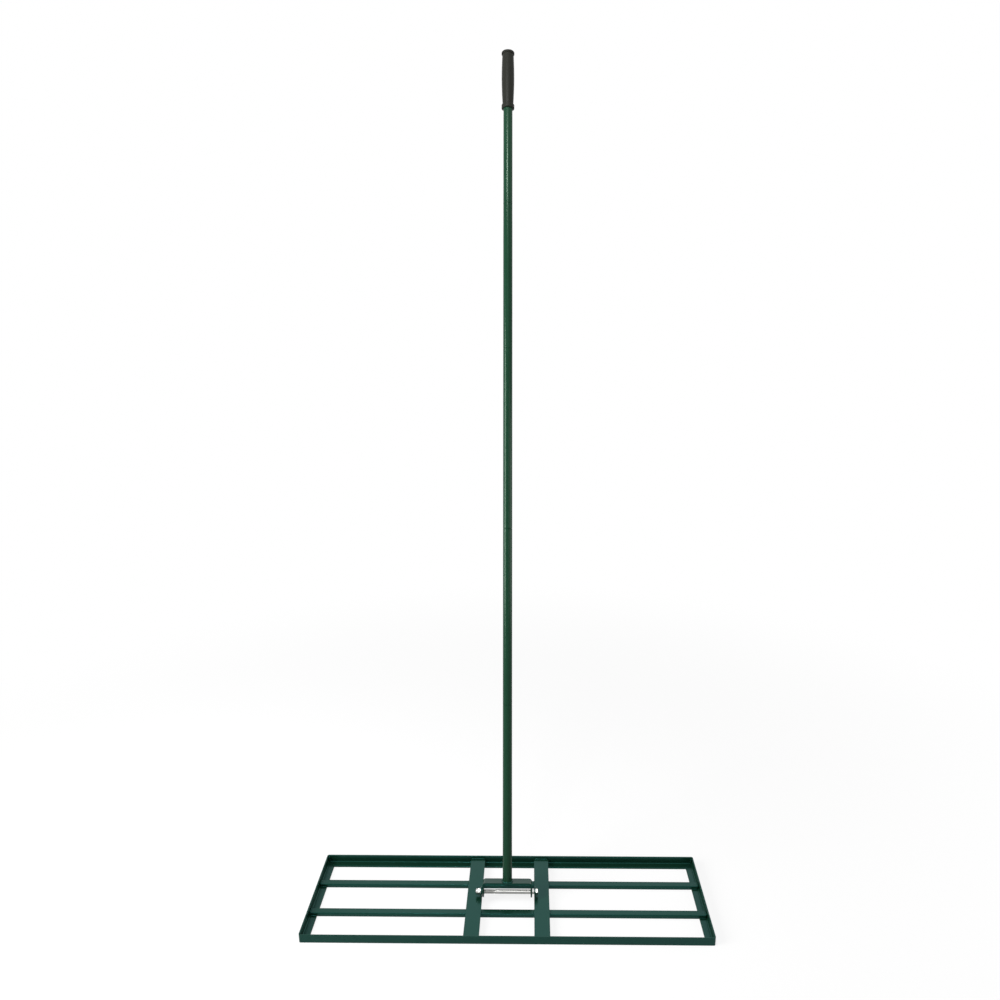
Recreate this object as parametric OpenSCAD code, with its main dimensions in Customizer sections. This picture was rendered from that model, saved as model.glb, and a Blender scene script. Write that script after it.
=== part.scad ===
// Lawn leveling rake: a flat welded frame on a long sectional handle that tilts on a through bolt.
// The head lies on the ground at z = 0, its centre is the origin, +Y points away from the user's front.

/* [Head frame] */
// Overall width of the head, left to right
head_w = 914; // [600:1:1200]
// Overall depth of the head, front to back
head_d = 254; // [200:1:400]
// Height of the angle iron's upright leg
rail_leg_h = 20; // [17:0.5:40]
// Width of the angle iron's flat leg
rail_leg_w = 20; // [12:0.5:40]
// Thickness of the angle iron
rail_t = 3; // [2:0.1:5]
// Fillet in the root of the angle iron
rail_root_r = 2; // [1:0.1:4]
// Rounding on the toe of each leg of the angle iron
rail_toe_r = 1.5; // [0.5:0.1:1.8]
// Rounding ground on the frame's outer upright corners
frame_corner_r = 4; // [1:0.5:6]

/* [Crossbars] */
// Depth of the rectangular tube, front to back
crossbar_w = 16; // [8:0.5:30]
// Height of the rectangular tube
crossbar_h = 10; // [7:0.5:13]
// Wall of the rectangular tube
crossbar_wall = 1.5; // [1:0.1:2]
// Outer corner radius of the rectangular tube
crossbar_corner_r = 2; // [0.5:0.1:3]
// Distance between the two crossbars' centre lines
crossbar_spacing = 90; // [75:1:140]

/* [Straps] */
// Width of the flat bar
strap_w = 35; // [20:0.5:60]
// Thickness of the flat bar
strap_t = 3; // [2:0.1:4]
// Clear distance between the two straps
strap_gap = 122; // [90:0.5:220]

/* [Pivot] */
// Height of the bolt's centre line above the straps' top face
pivot_rise = 12; // [10:0.5:30]
// Diameter of the bolt's shank
bolt_d = 10; // [8:0.5:13]
// Thickness of each ear
ear_t = 3; // [2:0.1:6]
// Width of each ear where it stands on the strap
ear_base_w = 30; // [26:0.5:44]
// Radius of the ear's rounded top
ear_r = 11; // [9:0.5:12]
// Radial clearance of the bolt in the yoke's holes
pivot_clear = 0.1; // [0.05:0.01:0.3]
// Radial clearance of the bolt in the ears, washer and nut
bolt_hole_clear = 0.15; // [0.05:0.01:0.4]

/* [Yoke] */
// Width of the bent strip
yoke_w = 24; // [18:0.5:30]
// Thickness of the bent strip
yoke_t = 3.5; // [2:0.1:5]
// Inside radius of the two bends
yoke_bend_r = 4; // [1:0.1:6]
// Height of the yoke's top face above the bolt's centre line
yoke_rise = 25; // [20:0.5:50]
// Side play of the yoke between the ears, both sides together
yoke_play = 6; // [0.8:0.1:8]

/* [Handle] */
// Lean of the handle behind the vertical
handle_lean = 15; // [0:0.5:40]
// Outside diameter of the handle tube
tube_od = 22; // [20:0.1:32]
// Wall of the handle tube
tube_wall = 1.2; // [0.8:0.1:1.8]
// Length of the lowest section, which is welded to the yoke
tube_1_l = 412; // [200:0.5:600]
// Length of the second section
tube_2_l = 413.5; // [200:0.5:600]
// Length of the third section
tube_3_l = 425; // [200:0.5:600]
// Length of the fourth section
tube_4_l = 343.5; // [200:0.5:600]
// Length of the top section, with the end that the grip covers
tube_5_l = 358.5; // [200:0.5:600]
// Chamfer on the outer edge of the tube ends that meet at a joint
tube_chamfer = 0.7; // [0.2:0.1:0.7]

/* [Handle joints] */
// Diameter of the threaded stud
stud_d = 12; // [8:0.5:13]
// Length of stud below the joint
stud_l = 24; // [12:1:40]
// Length of the plug that holds the stud in the upper tube
stud_plug_l = 24; // [12:1:40]
// Depth of insert left free below the stud
insert_spare = 4; // [1:0.5:12]
// Radial clearance of the plugs in the tubes
plug_clear = 0.05; // [0.02:0.01:0.2]
// Radial clearance of the stud in the insert
stud_clear = 0.2; // [0.1:0.01:0.4]

/* [Grip] */
// Overall length of the grip
grip_l = 136; // [110:1:170]
// Thickness of rubber over the end of the tube
grip_cap_t = 4; // [2:0.1:10]
// Wall of the grip at its thin lower end
grip_thin_wall = 1.7; // [0.8:0.1:4]
// Wall of the grip at its belly
grip_belly_wall = 3.9; // [2:0.1:8]
// Wall of the grip at the neck below its top flange
grip_neck_wall = 2.4; // [0.8:0.1:5]
// Wall of the grip at the lower lip
grip_lip_wall = 4.1; // [2:0.1:8]
// Wall of the grip at its top flange
grip_flange_wall = 4.2; // [2:0.1:8]
// Height of the lower lip
grip_lip_h = 9.5; // [6:0.5:20]
// Height of the top flange
grip_flange_h = 5.5; // [5:0.5:20]
// Rounding on the edges of the lip and the flange
grip_edge_r = 1.5; // [0.3:0.1:1.8]
// Rise of the domed top over its rim
grip_dome = 1.2; // [0.2:0.1:4]
// Radial clearance of the tube in the grip
grip_clear = 0.1; // [0.05:0.01:0.3]

/* [Hidden] */
$fn = 96;
// Run of every cut past the face it opens
cut_over = 1;

crossbar_l = head_w - 2 * (rail_t + rail_root_r);
// Least inner corner radius of the crossbar, as a share of its wall
crossbar_hollow_share = 0.2;
crossbar_hollow_r = max(crossbar_corner_r - crossbar_wall, crossbar_wall * crossbar_hollow_share);
strap_top = crossbar_h + strap_t;
pivot_z = strap_top + pivot_rise;
ear_outer_x = strap_gap / 2 + ear_t;

// Hex fastener proportions, as shares of the bolt's diameter
hex_flats_share = 1.4;
bolt_head_share = 0.55;
nut_hex_share = 0.5;
nut_collar_share = 0.42;
collar_d_share = 1.3;
ring_d_share = 1.18;
bolt_end_share = 0.12;
washer_d_share = 1.6;
washer_t_share = 0.16;
hex_bevel_share = 0.08;

hex_flats = bolt_d * hex_flats_share;
hex_corners = hex_flats / cos(30);
hex_bevel = bolt_d * hex_bevel_share;
bolt_head_t = bolt_d * bolt_head_share;
nut_hex_h = bolt_d * nut_hex_share;
nut_collar_h = bolt_d * nut_collar_share;
collar_d = bolt_d * collar_d_share;
ring_d = bolt_d * ring_d_share;
bolt_end = bolt_d * bolt_end_share;
washer_d = bolt_d * washer_d_share;
washer_t = bolt_d * washer_t_share;
bolt_hole_d = bolt_d + 2 * bolt_hole_clear;
nut_x = ear_outer_x + washer_t;
bolt_tip_x = nut_x + nut_hex_h + nut_collar_h + bolt_end;

// The yoke lies most of the way over to the left ear
yoke_shift_share = 0.65;
yoke_outer_w = strap_gap - yoke_play;
yoke_x = -yoke_shift_share * yoke_play / 2;

tube_id = tube_od - 2 * tube_wall;
tube_ls = [tube_1_l, tube_2_l, tube_3_l, tube_4_l, tube_5_l];
plug_d = tube_id - 2 * plug_clear;
insert_l = stud_l + insert_spare;
stud_tip_share = 0.1;
stud_tip_bevel = stud_d * stud_tip_share;

grip_bore_r = tube_od / 2 + grip_clear;
grip_thin_r = grip_bore_r + grip_thin_wall;
grip_belly_r = grip_bore_r + grip_belly_wall;
grip_neck_r = grip_bore_r + grip_neck_wall;
grip_lip_r = grip_bore_r + grip_lip_wall;
grip_flange_r = grip_bore_r + grip_flange_wall;
// Height of the belly up the stretch between the lip and the flange
grip_belly_share = 0.54;
grip_neck_h = grip_l - grip_dome - grip_flange_h;
grip_belly_h = grip_lip_h + grip_belly_share * (grip_neck_h - grip_lip_h);
// Straight steps along each curve of the grip
grip_steps = 10;

steel_green = "#2b554a";
zinc = "#c9ccc9";
rubber_black = "#2b2b29";
nylon_white = "#dfe3e0";

// Foot of a handle section, measured from the bolt's centre line
function tube_foot(i) = i == 0 ? yoke_rise : tube_foot(i - 1) + tube_ls[i - 1];

// Point where the ear's straight flank, drawn from one base corner, touches the rounded top
function ear_touch(side) =
    let (
        half = ear_base_w / 2,
        reach = norm([half, pivot_rise]),
        corner_angle = atan2(-pivot_rise, half),
        touch_angle = corner_angle + acos(ear_r / reach)
    )
    [side * ear_r * cos(touch_angle), ear_r * sin(touch_angle)];

// Shared shapes

// Quarter of a square left over outside a round of radius r, in the corner that points to +X +Y
module corner_sliver(r) {
    difference() {
        square(r + cut_over);
        circle(r);
    }
}

// Section of the angle iron: outer faces on x = 0 and y = 0
module angle_section() {
    difference() {
        union() {
            square([rail_leg_w, rail_t]);
            square([rail_t, rail_leg_h]);
            translate([rail_t, rail_t]) difference() {
                square(rail_root_r);
                translate([rail_root_r, rail_root_r]) circle(rail_root_r);
            }
        }
        translate([rail_leg_w - rail_toe_r, rail_t - rail_toe_r]) corner_sliver(rail_toe_r);
        translate([rail_t - rail_toe_r, rail_leg_h - rail_toe_r]) corner_sliver(rail_toe_r);
    }
}

// One rail along X with its outer face on y = 0, mitred at both ends and rounded at its outer corners
module rail(length) {
    color(steel_green) intersection() {
        translate([-length / 2, 0, 0]) rotate([90, 0, 90]) linear_extrude(length) angle_section();
        translate([0, 0, -cut_over]) linear_extrude(rail_leg_h + 2 * cut_over) difference() {
            polygon([
                [-length / 2, 0],
                [length / 2, 0],
                [length / 2 - rail_leg_w - cut_over, rail_leg_w + cut_over],
                [-length / 2 + rail_leg_w + cut_over, rail_leg_w + cut_over]
            ]);
            for (end = [0, 1]) mirror([end, 0])
                translate([length / 2 - frame_corner_r, frame_corner_r]) mirror([0, 1])
                    corner_sliver(frame_corner_r);
        }
    }
}

module rounded_rectangle(w, h, r) {
    square([w - 2 * r, h], center = true);
    square([w, h - 2 * r], center = true);
    for (x = [-1, 1], y = [-1, 1]) translate([x * (w / 2 - r), y * (h / 2 - r)]) circle(r);
}

// Rectangular tube along X, coped over the side rails' flat legs at both ends
module crossbar(y) {
    color(steel_green) translate([0, y, 0]) difference() {
        translate([-crossbar_l / 2, 0, crossbar_h / 2]) rotate([90, 0, 90]) linear_extrude(crossbar_l)
            difference() {
                rounded_rectangle(crossbar_w, crossbar_h, crossbar_corner_r);
                rounded_rectangle(
                    crossbar_w - 2 * crossbar_wall, crossbar_h - 2 * crossbar_wall, crossbar_hollow_r
                );
            }
        for (side = [-1, 1])
            translate([side * (head_w / 2 - rail_leg_w / 2), 0, 0])
                cube([rail_leg_w, crossbar_w + 2 * cut_over, 2 * rail_t], center = true);
    }
}

// Flat bar that lies on both crossbars and meets the front and rear rails
module strap(side) {
    color(steel_green)
        translate([side * (strap_gap + strap_w) / 2, 0, crossbar_h + strap_t / 2])
            cube([strap_w, head_d - 2 * rail_t, strap_t], center = true);
}

// Upright plate on the inner edge of a strap, with a rounded top and a hole for the bolt
module ear(side) {
    color(steel_green)
        translate([side > 0 ? strap_gap / 2 : -ear_outer_x, 0, pivot_z])
            rotate([90, 0, 90]) linear_extrude(ear_t) difference() {
                union() {
                    polygon([
                        [-ear_base_w / 2, -pivot_rise], [ear_base_w / 2, -pivot_rise],
                        ear_touch(1), ear_touch(-1)
                    ]);
                    circle(ear_r);
                }
                circle(d = bolt_hole_d);
            }
}

// Turns a shape built along +Z to run along the bolt, from x outwards: side 1 to the right, -1 to the left
module on_bolt(x, side) {
    translate([side * x, 0, pivot_z]) rotate([0, side * 90, 0]) children();
}

// Hexagonal prism that stands on a corner, with its outer corners turned off
module hex_block(h) {
    intersection() {
        cylinder(d = hex_corners, h = h, $fn = 6);
        rotate_extrude() polygon([
            [0, 0], [hex_corners / 2, 0], [hex_corners / 2, h - hex_bevel],
            [hex_flats / 2 - hex_bevel / 2, h], [0, h]
        ]);
    }
}

// Places a shape in the handle's own frame, s along the handle from the bolt's centre line
module on_handle(s) {
    translate([yoke_x, 0, pivot_z]) rotate([-handle_lean, 0, 0]) translate([0, 0, s]) children();
}

// Head

module front_rail() { translate([0, -head_d / 2, 0]) rail(head_w); }
module rear_rail() { translate([0, head_d / 2, 0]) rotate([0, 0, 180]) rail(head_w); }
module left_rail() { translate([-head_w / 2, 0, 0]) rotate([0, 0, -90]) rail(head_d); }
module right_rail() { translate([head_w / 2, 0, 0]) rotate([0, 0, 90]) rail(head_d); }
module front_crossbar() { crossbar(-crossbar_spacing / 2); }
module rear_crossbar() { crossbar(crossbar_spacing / 2); }
module left_strap() { strap(-1); }
module right_strap() { strap(1); }
module left_ear() { ear(-1); }
module right_ear() { ear(1); }

// Pivot

// Hex bolt, head against the right ear
module pivot_bolt() {
    color(zinc) {
        on_bolt(ear_outer_x, 1) hex_block(bolt_head_t);
        on_bolt(bolt_tip_x, -1) mirror([0, 0, 1]) cylinder(d = bolt_d, h = bolt_tip_x + ear_outer_x);
    }
}

module pivot_washer() {
    color(zinc) on_bolt(ear_outer_x, -1) difference() {
        cylinder(d = washer_d, h = washer_t);
        translate([0, 0, -cut_over]) cylinder(d = bolt_hole_d, h = washer_t + 2 * cut_over);
    }
}

// Hex nut with a thin collar that holds the nylon ring
module lock_nut() {
    color(zinc) on_bolt(nut_x, -1) difference() {
        union() {
            hex_block(nut_hex_h);
            cylinder(d = collar_d, h = nut_hex_h + nut_collar_h);
        }
        translate([0, 0, -cut_over]) cylinder(d = bolt_hole_d, h = nut_hex_h + 2 * cut_over);
        translate([0, 0, nut_hex_h]) cylinder(d = ring_d, h = nut_collar_h + cut_over);
    }
}

module lock_nut_ring() {
    color(nylon_white) on_bolt(nut_x + nut_hex_h, -1) difference() {
        cylinder(d = ring_d, h = nut_collar_h - hex_bevel);
        translate([0, 0, -cut_over]) cylinder(d = bolt_hole_d, h = nut_collar_h + 2 * cut_over);
    }
}

// Handle

// Inverted U of one bend profile, as wide as w overall, with its top face at height h
module bend_profile(w, h, r) {
    translate([-w / 2, -yoke_w]) square([w, yoke_w + h - r]);
    translate([-w / 2 + r, -yoke_w]) square([w - 2 * r, yoke_w + h]);
    for (side = [-1, 1]) translate([side * (w / 2 - r), h - r]) circle(r);
}

// Strip bent into a U, its legs rounded about the bolt and drilled for it
module yoke() {
    color(steel_green) on_handle(0) difference() {
        intersection() {
            rotate([90, 0, 0]) linear_extrude(yoke_w, center = true) difference() {
                bend_profile(yoke_outer_w, yoke_rise, yoke_bend_r + yoke_t);
                bend_profile(yoke_outer_w - 2 * yoke_t, yoke_rise - yoke_t, yoke_bend_r);
            }
            rotate([90, 0, 90]) linear_extrude(yoke_outer_w + 2 * cut_over, center = true) union() {
                circle(d = yoke_w);
                translate([-yoke_w / 2, 0]) square([yoke_w, yoke_rise + cut_over]);
            }
        }
        rotate([0, 90, 0])
            cylinder(d = bolt_d + 2 * pivot_clear, h = yoke_outer_w + 2 * cut_over, center = true);
    }
}

// Section i of the handle, counted from 0 at the yoke; only the ends that meet at a joint are chamfered
module handle_tube(i) {
    low = i > 0 ? tube_chamfer : 0;
    high = i < len(tube_ls) - 1 ? tube_chamfer : 0;
    l = tube_ls[i];
    color(steel_green) on_handle(tube_foot(i)) rotate_extrude() polygon(concat(
        [[tube_id / 2, 0], [tube_od / 2 - low, 0]],
        low > 0 ? [[tube_od / 2, low]] : [],
        high > 0 ? [[tube_od / 2, l - high]] : [],
        [[tube_od / 2 - high, l], [tube_id / 2, l]]
    ));
}

// Threaded insert, flush with the top of the tube below joint i
module joint_insert(i) {
    color(zinc) on_handle(tube_foot(i) - insert_l) difference() {
        cylinder(d = plug_d, h = insert_l);
        translate([0, 0, -cut_over]) cylinder(d = stud_d + 2 * stud_clear, h = insert_l + 2 * cut_over);
    }
}

// Plug in the foot of the tube above joint i, with the stud that screws into the insert
module joint_stud(i) {
    color(zinc) on_handle(tube_foot(i)) rotate_extrude() polygon([
        [0, -stud_l], [stud_d / 2 - stud_tip_bevel, -stud_l], [stud_d / 2, stud_tip_bevel - stud_l],
        [stud_d / 2, 0], [plug_d / 2, 0], [plug_d / 2, stud_plug_l], [0, stud_plug_l]
    ]);
}

// Outline of a band of the grip from height low to high, with both outer edges rounded
function grip_band(r, low, high) =
    let (edge_r = min(grip_edge_r, (high - low) / 2))
    concat(
        [for (k = [0 : grip_steps]) let (a = 90 * k / grip_steps) [
            r - edge_r * (1 - sin(a)), low + edge_r * (1 - cos(a))
        ]],
        [for (k = [0 : grip_steps]) let (a = 90 * k / grip_steps) [
            r - edge_r * (1 - cos(a)), high - edge_r * (1 - sin(a))
        ]]
    );

// Moulded sleeve: square lip, barrel-shaped body, neck, and a flange under a domed top
module grip() {
    lower = [for (k = [0 : grip_steps]) let (u = k / grip_steps) [
        grip_thin_r + (grip_belly_r - grip_thin_r) * sin(90 * u),
        grip_lip_h + (grip_belly_h - grip_lip_h) * u
    ]];
    upper = [for (k = [1 : grip_steps]) let (u = k / grip_steps) [
        grip_neck_r + (grip_belly_r - grip_neck_r) * cos(90 * u),
        grip_belly_h + (grip_neck_h - grip_belly_h) * u
    ]];
    dome = [for (k = [1 : grip_steps]) let (u = 1 - k / grip_steps) [
        (grip_flange_r - grip_edge_r) * u,
        grip_l - grip_dome * u * u
    ]];
    bore_h = grip_l - grip_cap_t;
    grip_foot = tube_foot(len(tube_ls) - 1) + tube_5_l - bore_h;
    color(rubber_black) on_handle(grip_foot) rotate_extrude() polygon(concat(
        [[grip_bore_r, 0]],
        grip_band(grip_lip_r, 0, grip_lip_h), lower, upper,
        grip_band(grip_flange_r, grip_neck_h, grip_l - grip_dome), dome,
        [[0, bore_h], [grip_bore_r, bore_h]]
    ));
}

front_rail();
rear_rail();
left_rail();
right_rail();
front_crossbar();
rear_crossbar();
left_strap();
right_strap();
left_ear();
right_ear();
pivot_bolt();
pivot_washer();
lock_nut();
lock_nut_ring();
yoke();
handle_tube(0);  // handle_tube_1
handle_tube(1);  // handle_tube_2
handle_tube(2);  // handle_tube_3
handle_tube(3);  // handle_tube_4
handle_tube(4);  // handle_tube_5
joint_insert(1);  // joint_insert_1
joint_insert(2);  // joint_insert_2
joint_insert(3);  // joint_insert_3
joint_insert(4);  // joint_insert_4
joint_stud(1);  // joint_stud_1
joint_stud(2);  // joint_stud_2
joint_stud(3);  // joint_stud_3
joint_stud(4);  // joint_stud_4
grip();
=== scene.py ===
import math
import random

import bmesh
import bpy
from mathutils import Matrix, Vector


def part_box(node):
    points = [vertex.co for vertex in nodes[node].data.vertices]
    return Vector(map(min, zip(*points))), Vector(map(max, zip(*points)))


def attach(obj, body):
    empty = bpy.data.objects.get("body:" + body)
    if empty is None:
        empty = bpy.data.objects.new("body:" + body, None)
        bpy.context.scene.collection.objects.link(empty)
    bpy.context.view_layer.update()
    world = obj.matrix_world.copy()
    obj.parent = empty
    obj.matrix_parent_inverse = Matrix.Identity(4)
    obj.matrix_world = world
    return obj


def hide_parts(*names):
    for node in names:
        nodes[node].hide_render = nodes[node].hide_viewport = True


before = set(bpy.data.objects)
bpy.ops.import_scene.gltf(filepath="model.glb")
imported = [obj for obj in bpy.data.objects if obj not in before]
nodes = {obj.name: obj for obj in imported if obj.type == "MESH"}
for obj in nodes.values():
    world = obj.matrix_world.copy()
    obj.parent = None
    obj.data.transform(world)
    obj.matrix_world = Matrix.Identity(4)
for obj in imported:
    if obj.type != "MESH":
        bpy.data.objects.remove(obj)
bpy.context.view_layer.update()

# Head frame: four lengths of hot rolled steel angle, mitred and welded at the corners.
# One leg of each lies flat on the ground and the other stands up round the outside.
# The whole head is sprayed with dark green polyester powder and baked.
MM = 0.001


def linear(hex_colour):
    """An sRGB hex colour as the linear colour that a shader takes."""
    shares = [int(hex_colour[i:i + 2], 16) / 255 for i in (1, 3, 5)]
    return [c / 12.92 if c <= 0.04045 else ((c + 0.055) / 1.055) ** 2.4 for c in shares] + [1.0]


def scale_for(mark):
    """The scale of a pattern on Object coordinates whose marks are this far across in metres."""
    return 1 / mark


def add(tree, kind, settings=None, **sockets):
    """Adds one node with its settings. Each socket, by name or as _number, gets a value or a link."""
    node = tree.nodes.new("ShaderNode" + kind)
    for name, value in (settings or {}).items():
        setattr(node, name, value)
    for name, value in sockets.items():
        socket = node.inputs[int(name[1:]) if name[0] == "_" else name.replace("_", " ")]
        if isinstance(value, bpy.types.NodeSocket):
            tree.links.new(value, socket)
        else:
            socket.default_value = value
    return node


def start_material(name):
    """A new material, its node tree and the Object coordinates that its patterns read."""
    material = bpy.data.materials.new(name)
    material.use_nodes = True
    tree = material.node_tree
    tree.nodes.clear()
    return material, tree, add(tree, "TexCoord").outputs["Object"]


# Baked polyester powder coat: a semi-gloss skin that flows a little before it sets, so flat
# faces carry soft reflections with a fine orange peel, and the green shifts slightly in tone.
# The real peel is about 1 mm across; it is drawn at 3 mm so that it shows.
powder_coat, tree, place = start_material("powder_coat_dark_green")
tone = add(tree, "TexNoise", Vector=place, Scale=scale_for(60 * MM), Detail=3.0).outputs["Fac"]
green = add(tree, "Mix", {"data_type": "RGBA"}, Factor=tone, _6=linear("#09251A"), _7=linear("#0E2B1E"))
peel = add(tree, "TexNoise", Vector=place, Scale=scale_for(3 * MM), Detail=2.0).outputs["Fac"]
flow = add(tree, "Bump", Height=peel, Strength=0.7, Distance=0.1 * MM)
gloss = add(tree, "MapRange", Value=tone, To_Min=0.18, To_Max=0.28)
skin = add(tree, "BsdfPrincipled", Base_Color=green.outputs[2], Roughness=gloss.outputs[0],
           Normal=flow.outputs[0], IOR=1.5, Specular_IOR_Level=0.28, Specular_Tint=linear("#7CFFFF"))
add(tree, "OutputMaterial", Surface=skin.outputs[0])


def finish_nodes(names, material):
    """Gives CAD nodes their finish."""
    for name in names:
        nodes[name].data.materials.clear()
        nodes[name].data.materials.append(material)


finish_nodes(["front_rail", "rear_rail", "left_rail", "right_rail"], powder_coat)

# Corner welds: short runs of MIG weld up the inside of each corner and along the mitre of
# the flat legs. They are left as laid, with their ripples, and coated with the head.
RIPPLE = 2.4 * MM
STEPS_PER_RIPPLE = 5
SECTION_POINTS = 10
SWELL_SHARES = (0.88, 1.08)
WANDER_SHARE = 0.12
VALLEY_SHARE = 0.84
TIP_SHARE = 0.08


def lay_weld(metal, path, radius, seed):
    """Lays one run of weld along a path: a round section drawn along it that swells at each ripple."""
    draw = random.Random(seed)
    path = [Vector(point) for point in path]
    lengths = [(b - a).length for a, b in zip(path, path[1:])]
    total = sum(lengths)
    ripples = max(2, round(total / RIPPLE))
    swell = [draw.uniform(*SWELL_SHARES) for _ in range(ripples)]
    wander = [draw.uniform(-WANDER_SHARE, WANDER_SHARE) * radius for _ in range(ripples)]
    steps = ripples * STEPS_PER_RIPPLE
    sections = []
    for i in range(steps + 1):
        along = total * i / steps
        leg = 0
        while leg < len(lengths) - 1 and along > lengths[leg]:
            along -= lengths[leg]
            leg += 1
        run = (path[leg + 1] - path[leg]).normalized()
        beat = i / STEPS_PER_RIPPLE
        ripple = min(int(beat), ripples - 1)
        within = beat - ripple
        crest = math.sqrt(math.sin(math.pi * within)) if 0 < within < 1 else 0
        taper = min(1.0, math.sqrt(min(i, steps - i) / STEPS_PER_RIPPLE + TIP_SHARE))
        size = radius * (VALLEY_SHARE + (1 - VALLEY_SHARE) * crest) * swell[ripple] * taper
        centre = path[leg] + run * along + Vector((0, 0, wander[ripple]))
        turn = run.to_track_quat("Z", "Y").to_matrix().to_4x4()
        sections.append(Matrix.Translation(centre) @ turn @ Matrix.Scale(size, 4))
    ring = bmesh.ops.create_circle(metal, cap_ends=True, segments=SECTION_POINTS, radius=1.0,
                                   matrix=sections[0])
    face = ring["verts"][0].link_faces[0]
    for i, (before, after) in enumerate(zip(sections, sections[1:])):
        grown = bmesh.ops.extrude_face_region(metal, geom=[face])["geom"]
        if i:
            bmesh.ops.delete(metal, geom=[face], context="FACES_ONLY")
        tip = [part for part in grown if isinstance(part, bmesh.types.BMVert)]
        bmesh.ops.transform(metal, matrix=after @ before.inverted(), verts=tip)
        face = [part for part in grown if isinstance(part, bmesh.types.BMFace)][0]


def make_piece(name, metal, material, body, smooth=True):
    """Turns a bmesh into a finished piece that rides on a body."""
    bmesh.ops.recalc_face_normals(metal, faces=metal.faces)
    for face in metal.faces:
        face.smooth = smooth
    mesh = bpy.data.meshes.new(name)
    metal.to_mesh(mesh)
    metal.free()
    mesh.materials.append(material)
    piece = bpy.data.objects.new(name, mesh)
    bpy.context.scene.collection.objects.link(piece)
    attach(piece, body)
    return piece


RAIL_T = 3 * MM
RAIL_LEG = 20 * MM
ROOT_WELD_R = 1.9 * MM
ROOT_WELD_OUT = 0.6 * MM
ROOT_WELD_TOP = 18 * MM
MITRE_WELD_R = 1.8 * MM
MITRE_WELD_SINK = 0.8 * MM
MITRE_WELD_INSET = 3 * MM
half_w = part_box("front_rail")[1].x
half_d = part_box("rear_rail")[1].y

metal = bmesh.new()
seed = 1
for x_side in (-1, 1):
    for y_side in (-1, 1):
        corner = Vector((x_side * (half_w - RAIL_T), y_side * (half_d - RAIL_T), 0))
        inward = Vector((-x_side, -y_side, 0))
        root = corner + inward * ROOT_WELD_OUT
        lay_weld(metal, [root + Vector((0, 0, RAIL_T)), root + Vector((0, 0, ROOT_WELD_TOP))],
                 ROOT_WELD_R, seed)
        mitre = corner + Vector((0, 0, RAIL_T - MITRE_WELD_SINK))
        lay_weld(metal, [mitre + inward * MITRE_WELD_INSET, mitre + inward * (RAIL_LEG - RAIL_T)],
                 MITRE_WELD_R, seed + 1)
        seed += 2
make_piece("corner_welds", metal, powder_coat, "head")

# Crossbars: two thin-walled rectangular steel tubes along the head, flush with the ground.
# Their ends are coped over the side rails' flat legs and welded there.
finish_nodes(["front_crossbar", "rear_crossbar"], powder_coat)
END_WELD_R = 2.1 * MM
END_WELD_OUT = 0.3 * MM
END_WELD_INSET = 1.2 * MM
FOOT_WELD_R = 1.6 * MM
FOOT_WELD_OUT = 0.4 * MM
FOOT_WELD_LIFT = 0.3 * MM
FOOT_WELD_INSET = 2 * MM

metal = bmesh.new()
for bar in ("front_crossbar", "rear_crossbar"):
    low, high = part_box(bar)
    for x_side in (-1, 1):
        end = x_side * (high.x + END_WELD_OUT)
        toe = x_side * (half_w - RAIL_LEG + FOOT_WELD_INSET)
        z = RAIL_T + FOOT_WELD_LIFT
        lay_weld(metal, [(end, low.y + END_WELD_INSET, high.z), (end, high.y - END_WELD_INSET, high.z)],
                 END_WELD_R, seed)
        for edge, y_side in ((low.y, -1), (high.y, 1)):
            y = edge + y_side * FOOT_WELD_OUT
            lay_weld(metal, [(toe, y, z), (end, y, z)], FOOT_WELD_R, seed + 1)
        seed += 2
make_piece("crossbar_welds", metal, powder_coat, "head")

# Straps: two lengths of flat bar that lie on the crossbars from the front rail to the rear rail.
# They are welded across both ends and beside each crossbar, and they carry the pivot.
finish_nodes(["left_strap", "right_strap"], powder_coat)
STRAP_END_WELD_R = 2.3 * MM
STRAP_END_WELD_IN = 0.8 * MM
STRAP_END_WELD_LIFT = 0.4 * MM
STRAP_SIDE_WELD_R = 1.9 * MM
STRAP_SIDE_WELD_OUT = 0.4 * MM
STRAP_SIDE_WELD_LIFT = 0.8 * MM
STRAP_WELD_INSET = 2 * MM

metal = bmesh.new()
for strap in ("left_strap", "right_strap"):
    low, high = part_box(strap)
    for end, y_side in ((low.y, 1), (high.y, -1)):
        y = end + y_side * STRAP_END_WELD_IN
        z = high.z + STRAP_END_WELD_LIFT
        lay_weld(metal, [(low.x + STRAP_WELD_INSET, y, z), (high.x - STRAP_WELD_INSET, y, z)],
                 STRAP_END_WELD_R, seed)
        seed += 1
    for bar in ("front_crossbar", "rear_crossbar"):
        bar_low, bar_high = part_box(bar)
        for edge, x_side in ((low.x, -1), (high.x, 1)):
            x = edge + x_side * STRAP_SIDE_WELD_OUT
            z = low.z + STRAP_SIDE_WELD_LIFT
            lay_weld(metal, [(x, bar_low.y + STRAP_WELD_INSET, z), (x, bar_high.y - STRAP_WELD_INSET, z)],
                     STRAP_SIDE_WELD_R, seed)
            seed += 1
make_piece("strap_welds", metal, powder_coat, "head")

# Ears: two small plates cut from flat bar, rounded at the top and drilled for the bolt.
# Each stands on the inner edge of a strap with a fillet weld along its outer foot.
finish_nodes(["left_ear", "right_ear"], powder_coat)
EAR_WELD_R = 1.2 * MM
EAR_WELD_OUT = 0.4 * MM
EAR_WELD_LIFT = 0.2 * MM
EAR_WELD_INSET = 2 * MM

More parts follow.
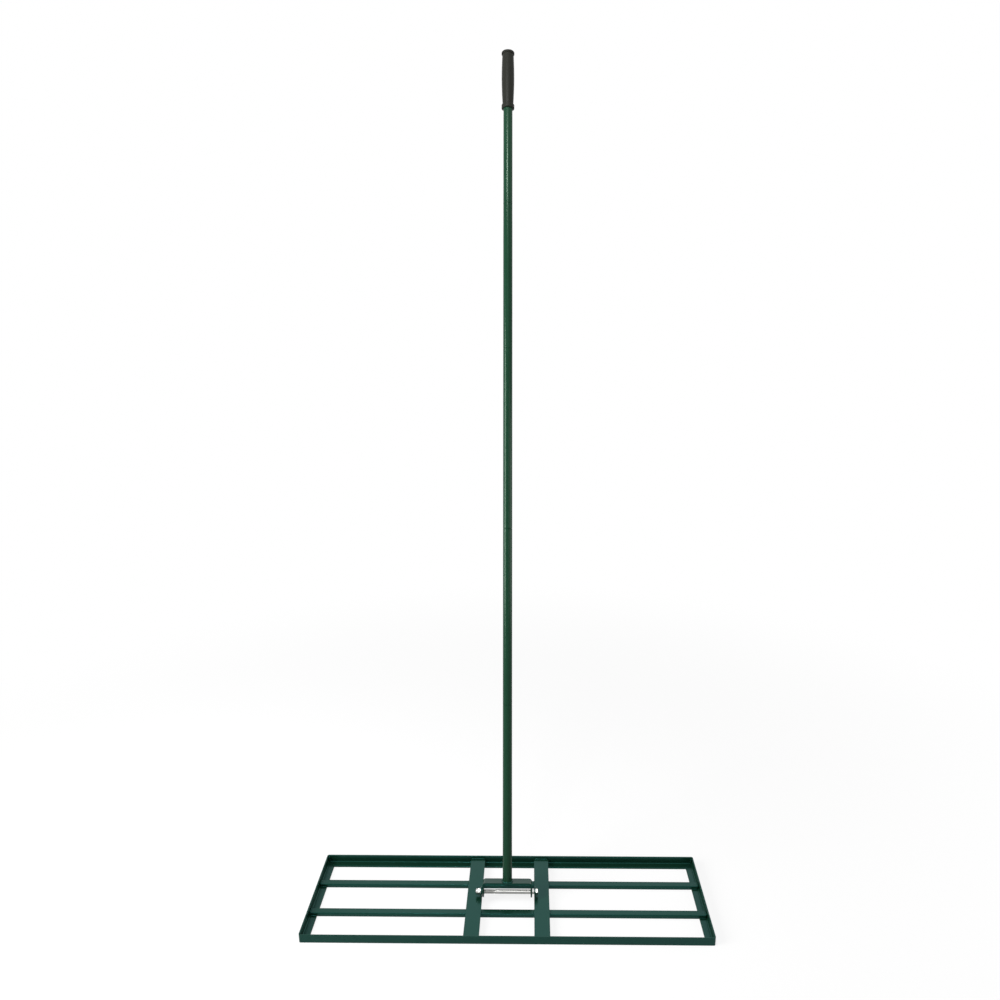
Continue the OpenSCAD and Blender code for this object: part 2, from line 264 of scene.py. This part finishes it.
metal = bmesh.new()
for ear, x_side in (("left_ear", -1), ("right_ear", 1)):
    low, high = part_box(ear)
    x = (low.x if x_side < 0 else high.x) + x_side * EAR_WELD_OUT
    z = low.z + EAR_WELD_LIFT
    lay_weld(metal, [(x, low.y + EAR_WELD_INSET, z), (x, high.y - EAR_WELD_INSET, z)], EAR_WELD_R, seed)
    seed += 1
make_piece("ear_welds", metal, powder_coat, "head")

# Pivot hardware: a zinc plated through bolt, a washer and a nylon insert lock nut.
# Bright zinc over turned and rolled steel: a silvery, slightly cloudy metal with soft reflections.
zinc, tree, place = start_material("zinc_plated_steel")
cloud = add(tree, "TexNoise", Vector=place, Scale=scale_for(12 * MM), Detail=3.0).outputs["Fac"]
plate = add(tree, "Mix", {"data_type": "RGBA"}, Factor=cloud, _6=linear("#A3A3A1"), _7=linear("#B5B5B2"))
gloss = add(tree, "MapRange", Value=cloud, To_Min=0.26, To_Max=0.34)
skin = add(tree, "BsdfPrincipled", Base_Color=plate.outputs[2], Metallic=1.0, Roughness=gloss.outputs[0])
add(tree, "OutputMaterial", Surface=skin.outputs[0])
finish_nodes(["pivot_washer"], zinc)

# The bolt: zinc plated steel with a hex head whose corners are turned off, a plain shank
# and a rolled thread at the nut's end. It runs through both ears and both legs of the yoke.
BOLT_R = 5 * MM
HEAD_T = 5.5 * MM
HEX_SIDE = math.pi / 3
TURN_STEPS = 48
CORNER_ANGLE = math.radians(30)
CORNER_ROWS = 5
END_FACE_SHARE = 0.93
bolt_low, bolt_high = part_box("pivot_bolt")
axis_z = (bolt_low.z + bolt_high.z) / 2
hex_corner = (bolt_high.z - bolt_low.z) / 2
hex_flat = hex_corner * math.cos(HEX_SIDE / 2)


def turned_corner(face_x, inward):
    """The part of an outline that cuts a hexagon's corners back towards its end face."""
    face_r = END_FACE_SHARE * hex_flat
    rows = [i / CORNER_ROWS for i in range(CORNER_ROWS + 1)]
    return [(face_x + inward * (hex_corner - face_r) * math.tan(CORNER_ANGLE) * row,
             face_r + (hex_corner - face_r) * row) for row in rows]


def turn_hex(metal, outline, closed):
    """Turns an outline of (x, radius) round the bolt's axis, then cuts six flats with a corner on top."""
    corners = [metal.verts.new((x, 0, axis_z + r)) for x, r in outline]
    ends = corners[1:] + corners[:1] if closed else corners[1:]
    edges = [metal.edges.new(pair) for pair in zip(corners, ends)]
    bmesh.ops.spin(metal, geom=corners + edges, cent=(0, 0, axis_z), axis=(1, 0, 0), angle=2 * math.pi,
                   steps=TURN_STEPS, use_merge=True)
    for vert in metal.verts:
        middle = Vector((vert.co.x, 0, axis_z))
        reach = vert.co - middle
        from_corner = math.atan2(reach.y, reach.z) % HEX_SIDE
        limit = hex_flat / math.cos(from_corner - HEX_SIDE / 2)
        if reach.length > limit:
            vert.co = middle + reach * (limit / reach.length)


THREAD_L = 46 * MM
THREAD_PITCH = 1.5 * MM
THREAD_DEPTH = 0.7 * MM
root_r = BOLT_R - THREAD_DEPTH
under_head = bolt_high.x - HEAD_T
thread_end = bolt_low.x + THREAD_L

metal = bmesh.new()
turn_hex(metal, [(bolt_high.x, 0), *turned_corner(bolt_high.x, -1), (under_head, hex_corner),
                 (under_head, BOLT_R), (thread_end, BOLT_R), (thread_end - THREAD_DEPTH, root_r),
                 (bolt_low.x + THREAD_DEPTH, root_r), (bolt_low.x, root_r - THREAD_DEPTH), (bolt_low.x, 0)],
         closed=False)

# The thread is a ridge wound round the bolt's root, which it sinks into a little.
STEPS_PER_TURN = 28
LEAD_TURNS = 1.2
PLAIN_TURNS = 3
FLANK_SHARE = 0.46
CREST_SHARE = 0.06
RIDGE_SINK = 0.05 * MM
MERGE_WITHIN = 0.001 * MM
turns = int(THREAD_L / THREAD_PITCH) - PLAIN_TURNS
ridge_x = bolt_low.x + LEAD_TURNS * THREAD_PITCH
flank = FLANK_SHARE * THREAD_PITCH
crest = CREST_SHARE * THREAD_PITCH
sunk_r = root_r - RIDGE_SINK
ridge = [metal.verts.new((ridge_x + dx, 0, axis_z + r)) for dx, r in
         ((-flank, sunk_r), (-crest, BOLT_R), (crest, BOLT_R), (flank, sunk_r))]
ridge_face = metal.faces.new(ridge)
bmesh.ops.spin(metal, geom=[ridge_face], cent=(0, 0, axis_z), axis=(1, 0, 0),
               dvec=(THREAD_PITCH / STEPS_PER_TURN, 0, 0), angle=2 * math.pi * turns,
               steps=STEPS_PER_TURN * turns)
bmesh.ops.remove_doubles(metal, verts=metal.verts, dist=MERGE_WITHIN)
bolt = make_piece("threaded_pivot_bolt", metal, zinc, "head", smooth=False)
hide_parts("pivot_bolt")

# The lock nut: zinc plated steel, a hexagon screwed up against the washer, with a round collar
# at its outer end that is rolled over to hold the nylon ring.
NUT_HEX_H = 5 * MM
COLLAR_R = 6.5 * MM
SHOULDER = 0.55 * MM
SHOULDER_ROWS = 5
BORE_CLEARANCE = 0.1 * MM
bore_r = BOLT_R + BORE_CLEARANCE
nut_low, nut_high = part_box("lock_nut")
seat_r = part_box("lock_nut_ring")[1].z - axis_z
hex_end = nut_high.x - NUT_HEX_H
angles = [math.pi / 2 * i / SHOULDER_ROWS for i in range(SHOULDER_ROWS + 1)]
rolled = [(nut_low.x + SHOULDER * (1 - math.sin(a)), COLLAR_R - SHOULDER * (1 - math.cos(a)))
          for a in angles]

metal = bmesh.new()
turn_hex(metal, [(nut_high.x, bore_r), (nut_high.x, hex_corner), *reversed(turned_corner(hex_end, 1)),
                 *rolled, (nut_low.x, seat_r), (hex_end, seat_r), (hex_end, bore_r)], closed=True)
bmesh.ops.remove_doubles(metal, verts=metal.verts, dist=MERGE_WITHIN)
nut = make_piece("collared_lock_nut", metal, zinc, "head", smooth=False)
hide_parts("lock_nut")

# The nut's ring: undyed nylon, moulded and pressed into the collar, where it grips the thread.
# Such nylon is off-white and slightly waxy, with a faint haze.
nylon, tree, place = start_material("moulded_nylon")
haze = add(tree, "TexNoise", Vector=place, Scale=scale_for(2 * MM), Detail=2.0).outputs["Fac"]
wax = add(tree, "Mix", {"data_type": "RGBA"}, Factor=haze, _6=linear("#D6D4CA"), _7=linear("#E2E0D8"))
skin = add(tree, "BsdfPrincipled", Base_Color=wax.outputs[2], Roughness=0.45, IOR=1.53)
add(tree, "OutputMaterial", Surface=skin.outputs[0])
finish_nodes(["lock_nut_ring"], nylon)

# Yoke: one strip of steel bent to a U, drilled for the bolt, with the lowest tube welded on top.
# It is coated with the head's powder. Its weld is laid in one turn round the tube's foot and
# ends in a larger blob in front.
finish_nodes(["yoke"], powder_coat)
LEAN = math.radians(15)
YOKE_RISE = 25 * MM
TUBE_R = 11 * MM
YOKE_WELD_R = 2.2 * MM
YOKE_WELD_OUT = 0.5 * MM
YOKE_WELD_LIFT = 0.4 * MM
YOKE_WELD_POINTS = 48
OVERLAP_POINTS = 2
BLOB_R = 3 * MM
BLOB_POINTS = 4
yoke_low, yoke_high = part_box("yoke")
on_handle = (Matrix.Translation(((yoke_low.x + yoke_high.x) / 2, 0, axis_z))
             @ Matrix.Rotation(-LEAN, 4, "X"))
weld_r = TUBE_R + YOKE_WELD_OUT
weld_z = YOKE_RISE + YOKE_WELD_LIFT
angles = [2 * math.pi * i / YOKE_WELD_POINTS for i in range(YOKE_WELD_POINTS + OVERLAP_POINTS)]
ring = [on_handle @ Vector((weld_r * math.sin(a), -weld_r * math.cos(a), weld_z)) for a in angles]

metal = bmesh.new()
lay_weld(metal, ring, YOKE_WELD_R, seed)
lay_weld(metal, ring[-BLOB_POINTS:], BLOB_R, seed + 1)
make_piece("yoke_weld", metal, powder_coat, "handle")

# Handle: five lengths of thin-walled steel tube that screw together, each with a chamfered end.
# Stoved enamel on drawn tube: glossier and greener than the head, so lamps show as long streaks.
# Its peel is about 1 mm across; it is drawn at 4 mm so that it shows.
enamel, tree, place = start_material("stoved_enamel_mid_green")
tone = add(tree, "TexNoise", Vector=place, Scale=scale_for(80 * MM), Detail=3.0).outputs["Fac"]
green = add(tree, "Mix", {"data_type": "RGBA"}, Factor=tone, _6=linear("#0E2F1F"), _7=linear("#123524"))
peel = add(tree, "TexNoise", Vector=place, Scale=scale_for(4 * MM), Detail=2.0).outputs["Fac"]
flow = add(tree, "Bump", Height=peel, Strength=0.3, Distance=0.1 * MM)
gloss = add(tree, "MapRange", Value=tone, To_Min=0.13, To_Max=0.2)
skin = add(tree, "BsdfPrincipled", Base_Color=green.outputs[2], Roughness=gloss.outputs[0],
           Normal=flow.outputs[0], IOR=1.5, Specular_IOR_Level=0.14, Specular_Tint=linear("#E0FFE8"))
add(tree, "OutputMaterial", Surface=skin.outputs[0])
finish_nodes([f"handle_tube_{i}" for i in range(1, 6)], enamel)

# Handle joints: turned steel inserts and studs inside the tubes, left bare under a film of oil.
# Cold drawn steel: a grey metal with a dull sheen.
steel, tree, place = start_material("bare_cold_drawn_steel")
mill = add(tree, "TexNoise", Vector=place, Scale=scale_for(5 * MM), Detail=3.0).outputs["Fac"]
grey = add(tree, "Mix", {"data_type": "RGBA"}, Factor=mill, _6=linear("#7E7C78"), _7=linear("#96938E"))
skin = add(tree, "BsdfPrincipled", Base_Color=grey.outputs[2], Metallic=1.0, Roughness=0.38)
add(tree, "OutputMaterial", Surface=skin.outputs[0])
finish_nodes([f"joint_{kind}_{i}" for kind in ("insert", "stud") for i in range(1, 5)], steel)

# Grip: a moulded rubber sleeve pushed over the top tube, with a rolled lip and a domed end.
# Satin black rubber: a dull skin with a very fine grain that takes only a soft, broad light.
# The real grain is about 0.3 mm; it is drawn at 1.2 mm so that it shows.
rubber, tree, place = start_material("moulded_black_rubber")
tone = add(tree, "TexNoise", Vector=place, Scale=scale_for(25 * MM), Detail=3.0).outputs["Fac"]
black = add(tree, "Mix", {"data_type": "RGBA"}, Factor=tone, _6=linear("#1C1D19"), _7=linear("#22231F"))
grain = add(tree, "TexNoise", Vector=place, Scale=scale_for(1.2 * MM), Detail=2.0).outputs["Fac"]
pores = add(tree, "Bump", Height=grain, Strength=0.3, Distance=0.2 * MM)
skin = add(tree, "BsdfPrincipled", Base_Color=black.outputs[2], Roughness=0.4, IOR=1.52,
           Normal=pores.outputs[0], Specular_IOR_Level=0.07)
add(tree, "OutputMaterial", Surface=skin.outputs[0])
finish_nodes(["grip"], rubber)

# Studio: white paper on the floor of a white room, lit by soft lamp panels behind, overhead, in front
# and on both sides, the left one the brightest, and by a small lamp above and in front of the grip.
# The paper keeps a faint shadow.
PAPER_HALF = 40
paper = bmesh.new()
bmesh.ops.create_grid(paper, x_segments=1, y_segments=1, size=PAPER_HALF)
floor_mesh = bpy.data.meshes.new("studio_floor")
paper.to_mesh(floor_mesh)
paper.free()
floor = bpy.data.objects.new("studio_floor", floor_mesh)
bpy.context.scene.collection.objects.link(floor)


def seen_directly(tree):
    """1 for rays from the camera, from glossy surfaces and through glass, which see plain white."""
    rays = add(tree, "LightPath").outputs
    seen = add(tree, "Math", {"operation": "MAXIMUM"}, _0=rays["Is Camera Ray"], _1=rays["Is Glossy Ray"])
    return add(tree, "Math", {"operation": "MAXIMUM"}, _0=seen.outputs[0],
               _1=rays["Is Transmission Ray"]).outputs[0]


# Uncoated white paper: matt and even. Near the head a share of it takes light and shadow,
# and further off, from 0.6 to 2.2 m, it turns to the plain white of the room.
floor_paper, tree, place = start_material("white_studio_paper")
reach = add(tree, "VectorMath", {"operation": "LENGTH"}, _0=place).outputs["Value"]
fade = add(tree, "MapRange", {"interpolation_type": "SMOOTHSTEP"}, Value=reach, From_Min=0.6, From_Max=2.2,
           To_Min=0.82, To_Max=1.0)
share = add(tree, "Math", {"operation": "MULTIPLY"}, _0=seen_directly(tree), _1=fade.outputs[0])
matte = add(tree, "BsdfDiffuse", Color=linear("#F4F4F4"))
white = add(tree, "Emission", Color=linear("#FFFFFF"), Strength=1.0)
surface = add(tree, "MixShader", _0=share.outputs[0], _1=matte.outputs[0], _2=white.outputs[0])
add(tree, "OutputMaterial", Surface=surface.outputs[0])
floor_mesh.materials.append(floor_paper)

world = bpy.data.worlds.new("white_room")
bpy.context.scene.world = world
world.use_nodes = True
tree = world.node_tree
tree.nodes.clear()
white = add(tree, "Background", Color=linear("#FFFFFF"), Strength=seen_directly(tree))
add(tree, "OutputWorld", Surface=white.outputs[0])

HEAD_MIDDLE = (0, 0, 0)
TUBE_MIDDLE = (0, 0.22, 1.05)
UPPER_TUBE = (0, 0.44, 1.65)


def lamp_panel(name, place, aim, width, height, radiance):
    """A diffused lamp panel of that size in metres, as bright as radiance, that faces a point."""
    lamp = bpy.data.lights.new(name, "AREA")
    lamp.shape = "RECTANGLE"
    lamp.size = width
    lamp.size_y = height
    lamp.energy = radiance * math.pi * width * height
    panel = bpy.data.objects.new(name, lamp)
    panel.location = place
    panel.rotation_euler = (Vector(aim) - Vector(place)).to_track_quat("-Z", "Y").to_euler()
    panel.visible_camera = False
    bpy.context.scene.collection.objects.link(panel)


lamp_panel("back_panel", (0.0, 2.12, 2.12), HEAD_MIDDLE, width=2.2, height=1.0, radiance=1.0)
lamp_panel("top_panel", (-0.2, 0.1, 3.0), HEAD_MIDDLE, width=2.2, height=2.2, radiance=1.1)
lamp_panel("front_top_panel", (0.0, -0.77, 2.69), HEAD_MIDDLE, width=1.2, height=0.8, radiance=1.5)
lamp_panel("left_panel", (-1.88, -0.65, 1.3), TUBE_MIDDLE, width=1.05, height=1.45, radiance=16.5)
lamp_panel("right_panel", (2.44, 0.0, 0.89), HEAD_MIDDLE, width=1.2, height=1.2, radiance=4.0)
lamp_panel("right_high_panel", (1.6, 0.0, 2.77), HEAD_MIDDLE, width=1.2, height=1.2, radiance=0.9)
lamp_panel("front_right_panel", (1.84, -1.84, 1.5), HEAD_MIDDLE, width=1.4, height=1.4, radiance=2.2)
lamp_panel("front_left_panel", (-1.84, -1.84, 1.5), HEAD_MIDDLE, width=1.4, height=1.4, radiance=0.3)
lamp_panel("front_high_panel", (0.0, -1.6, 2.77), HEAD_MIDDLE, width=1.2, height=1.2, radiance=0.8)
lamp_panel("camera_lamp", (-0.36, -0.6, 2.53), UPPER_TUBE, width=0.3, height=0.24, radiance=48.0)

# Camera: a wide lens at chest height in front of the head, looking slightly down.
# Its place, angles and focal length are the ones that fit the edges of the head and the handle.
IMAGE_PX = 1000
SENSOR_MM = 36
FOCAL_PX = 767.8
CENTRE_X_PX = 521.6
CAMERA_PLACE = (0.0536, -1.5166, 1.3579)
PITCH = math.radians(14.28)
YAW = math.radians(0.74)
ROLL = math.radians(-0.16)
lens = bpy.data.cameras.new("camera")
lens.sensor_width = SENSOR_MM
lens.lens = FOCAL_PX / IMAGE_PX * SENSOR_MM
lens.shift_x = (IMAGE_PX / 2 - CENTRE_X_PX) / IMAGE_PX
camera = bpy.data.objects.new("camera", lens)
camera.location = CAMERA_PLACE
camera.rotation_euler = (Matrix.Rotation(YAW, 4, "Z") @ Matrix.Rotation(math.pi / 2 - PITCH, 4, "X")
                         @ Matrix.Rotation(ROLL, 4, "Z")).to_euler()
bpy.context.scene.collection.objects.link(camera)
bpy.context.scene.camera = camera
bpy.context.scene.view_settings.view_transform = "Standard"
